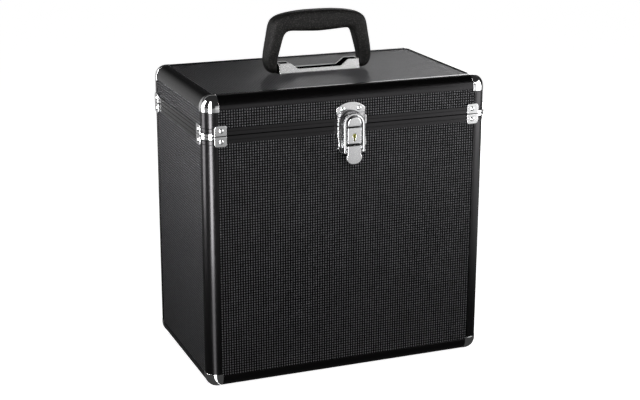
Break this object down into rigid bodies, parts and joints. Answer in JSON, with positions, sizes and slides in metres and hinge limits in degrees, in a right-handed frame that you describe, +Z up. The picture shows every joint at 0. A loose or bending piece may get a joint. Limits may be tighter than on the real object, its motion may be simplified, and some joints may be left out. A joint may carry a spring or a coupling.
{
  "type": "record carrying case",
  "caption": "Rectangular case for long-playing records, with a hinged lid, edge profiles, ball corners, a lockable draw latch and a folding handle.",
  "frame": {"origin": "centre of the bounding box on the plane that the case stands on", "axes": "+Z up, +X to the right as seen from the latch side, +Y from the latch side to the hinge side"},
  "size_m": [0.3602, 0.2336, 0.4261],
  "materials": {
    "embossed_panel": "thin board faced with black laminate, embossed with a fine square grid of raised dots",
    "edge_profile": "black anodised extrusion, satin with long soft highlights",
    "chrome": "bright nickel-chrome plate on pressed steel",
    "hinge_steel": "plated steel",
    "lock_brass": "turned brass",
    "grip_plastic": "black moulded plastic with a fine leather grain",
    "lining": "dark soft lining"
  },
  "bodies": {
    "body": {"body_front_panel": "embossed_panel", "body_back_panel": "embossed_panel", "body_left_panel": "embossed_panel", "body_right_panel": "embossed_panel", "body_bottom_panel": "embossed_panel", "bottom_edge_front": "edge_profile", "bottom_edge_back": "edge_profile", "bottom_edge_left": "edge_profile", "bottom_edge_right": "edge_profile", "body_post_front_left": "edge_profile", "body_post_front_right": "edge_profile", "body_post_back_left": "edge_profile", "body_post_back_right": "edge_profile", "body_rim_frame": "edge_profile", "bottom_corner_front_left": "chrome", "bottom_corner_front_right": "chrome", "bottom_corner_back_left": "chrome", "bottom_corner_back_right": "chrome", "body_bracket_front_left": "chrome", "body_bracket_front_right": "chrome", "body_bracket_back_left": "chrome", "body_bracket_back_right": "chrome", "body_lining": "lining", "latch_base": "chrome", "latch_lever_pin": "hinge_steel", "hinge_left_body_leaf": "hinge_steel", "hinge_left_pin": "hinge_steel", "hinge_right_body_leaf": "hinge_steel", "hinge_right_pin": "hinge_steel"},
    "lid": {"lid_front_panel": "embossed_panel", "lid_back_panel": "embossed_panel", "lid_left_panel": "embossed_panel", "lid_right_panel": "embossed_panel", "lid_top_panel": "embossed_panel", "top_edge_front": "edge_profile", "top_edge_back": "edge_profile", "top_edge_left": "edge_profile", "top_edge_right": "edge_profile", "lid_post_front_left": "edge_profile", "lid_post_front_right": "edge_profile", "lid_post_back_left": "edge_profile", "lid_post_back_right": "edge_profile", "top_corner_front_left": "chrome", "top_corner_front_right": "chrome", "top_corner_back_left": "chrome", "top_corner_back_right": "chrome", "lid_rim_frame": "edge_profile", "lid_bracket_front_left": "chrome", "lid_bracket_front_right": "chrome", "lid_bracket_back_left": "chrome", "lid_bracket_back_right": "chrome", "lid_lining": "lining", "latch_keeper": "chrome", "hinge_left_lid_leaf": "hinge_steel", "hinge_right_lid_leaf": "hinge_steel", "handle_bracket": "chrome"},
    "latch_lever": {"latch_lever": "chrome"},
    "latch_loop": {"latch_loop": "chrome"},
    "lock": {"lock_cylinder": "lock_brass"},
    "handle": {"handle_grip": "grip_plastic"}
  },
  "joints": [
    {"name": "lid_hinge", "type": "hinge", "parent": "body", "child": "lid", "pos_m": [0, 0.11355, 0.3066], "axis": [-1, 0, 0], "range_deg": [0, 105]},
    {"name": "latch_lever_pivot", "type": "hinge", "parent": "body", "child": "latch_lever", "pos_m": [0, -0.11325, 0.2821], "axis": [-1, 0, 0], "range_deg": [0, 110]},
    {"name": "latch_loop_pivot", "type": "hinge", "parent": "latch_lever", "child": "latch_loop", "pos_m": [0, -0.11225, 0.2761], "axis": [-1, 0, 0], "range_deg": [-130, 0]},
    {"name": "lock_turn", "type": "hinge", "parent": "body", "child": "lock", "pos_m": [0, -0.11395, 0.2956], "axis": [0, -1, 0], "range_deg": [0, 90]},
    {"name": "handle_fold", "type": "hinge", "parent": "lid", "child": "handle", "pos_m": [0, 0.00355, 0.3602], "axis": [1, 0, 0], "range_deg": [-80, 80]}
  ],
  "couplings": [
    {"joint": "latch_loop_pivot", "follows": "latch_lever_pivot", "ratio": -1.15}
  ]
}
